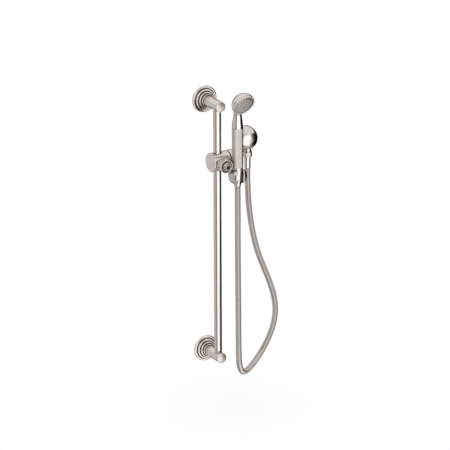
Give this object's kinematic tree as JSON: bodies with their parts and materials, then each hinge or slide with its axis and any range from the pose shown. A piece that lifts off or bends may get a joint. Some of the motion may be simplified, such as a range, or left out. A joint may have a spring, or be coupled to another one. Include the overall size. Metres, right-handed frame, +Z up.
{
  "type": "slide bar hand shower kit",
  "caption": "Wall slide bar between two flanged posts, with a clamping slider and tilting holder, a hand shower, its metal hose and a domed wall supply elbow.",
  "frame": {"origin": "middle of the upper wall bracket's back face, on the finished wall", "axes": "+Z up along the bar, +Y into the wall, +X to the right of a person facing the wall"},
  "size_m": [0.2138, 0.1339, 0.7009],
  "materials": {
    "satin_nickel": "satin nickel plate, finely brushed",
    "polished_nickel": "bright nickel plate",
    "brass": "machined brass, unplated",
    "steel": "plain stainless steel",
    "acetal": "natural acetal",
    "rubber": "moulded rubber",
    "spray_face": "moulded plate, plated to match"
  },
  "bodies": {
    "wall_rail": {"upper_wall_bracket": "steel", "upper_flange": "satin_nickel", "upper_post": "satin_nickel", "upper_post_cap": "satin_nickel", "upper_bar_screw": "steel", "upper_grub_screw": "steel", "upper_bar_plug": "brass", "lower_wall_bracket": "steel", "lower_flange": "satin_nickel", "lower_post": "satin_nickel", "lower_post_cap": "satin_nickel", "lower_bar_screw": "steel", "lower_grub_screw": "steel", "lower_bar_plug": "brass", "slide_bar": "satin_nickel", "elbow_body": "brass", "elbow_dome": "satin_nickel", "elbow_wall_gasket": "rubber", "elbow_check_valve": "acetal", "supply_hose_washer": "rubber", "supply_hose_nut": "satin_nickel", "supply_hose_end": "polished_nickel", "metal_hose": "satin_nickel"},
    "bush": {"slide_bush": "acetal"},
    "slider": {"slider_body": "satin_nickel", "swivel_washer": "acetal", "swivel_bolt": "steel", "swivel_spring_washer": "steel"},
    "holder": {"handset_holder": "satin_nickel", "holder_cap": "satin_nickel"},
    "pad": {"clamp_pad": "acetal"},
    "knob": {"clamp_knob": "satin_nickel", "knob_stud": "steel", "knob_screw": "steel"},
    "hose_end": {"handset_hose_end": "satin_nickel"},
    "handset": {"grip_sleeve": "satin_nickel", "water_tube": "brass", "neck_cone": "polished_nickel", "neck_collar": "polished_nickel", "head_shell": "satin_nickel", "handset_check_valve": "acetal", "handset_hose_washer": "rubber", "handset_hose_nut": "polished_nickel", "diverter_disc": "acetal", "head_seal": "rubber"},
    "face": {"spray_ring": "satin_nickel", "spray_plate": "spray_face", "nozzle_mat": "rubber", "face_screw": "polished_nickel"}
  },
  "joints": [
    {"name": "height_slide", "type": "slide", "parent": "wall_rail", "child": "bush", "axis": [0, 0, 1], "range_m": [-0.44, 0.095], "deforming": ["metal_hose"]},
    {"name": "slider_swivel", "type": "hinge", "parent": "bush", "child": "slider", "pos_m": [0, -0.0575, -0.133], "axis": [0, 0, 1], "range_deg": [-75, 75]},
    {"name": "holder_tilt", "type": "hinge", "parent": "slider", "child": "holder", "pos_m": [0, -0.0575, -0.133], "axis": [1, 0, 0], "range_deg": [-3, 35]},
    {"name": "handset_lift", "type": "slide", "parent": "holder", "child": "hose_end", "axis": [0, 0, 1], "range_m": [0, 0.045]},
    {"name": "handset_turn", "type": "hinge", "parent": "hose_end", "child": "handset", "pos_m": [0.031, -0.0945, -0.1413], "axis": [0, 0, 1], "range_deg": [-60, 80]},
    {"name": "spray_select", "type": "hinge", "parent": "handset", "child": "face", "pos_m": [0.03278, -0.11993, 0.01171], "axis": [0.061, -0.8725, -0.4848], "range_deg": [0, 90]},
    {"name": "pad_travel", "type": "slide", "parent": "slider", "child": "pad", "axis": [0, -1, 0], "range_m": [0, 0.001]},
    {"name": "knob_turn", "type": "hinge", "parent": "pad", "child": "knob", "pos_m": [0, -0.0575, -0.133], "axis": [0, -1, 0], "range_deg": [0, 360]}
  ],
  "couplings": [
    {"joint": "pad_travel", "follows": "knob_turn", "m_per_rad": 0.000159}
  ]
}
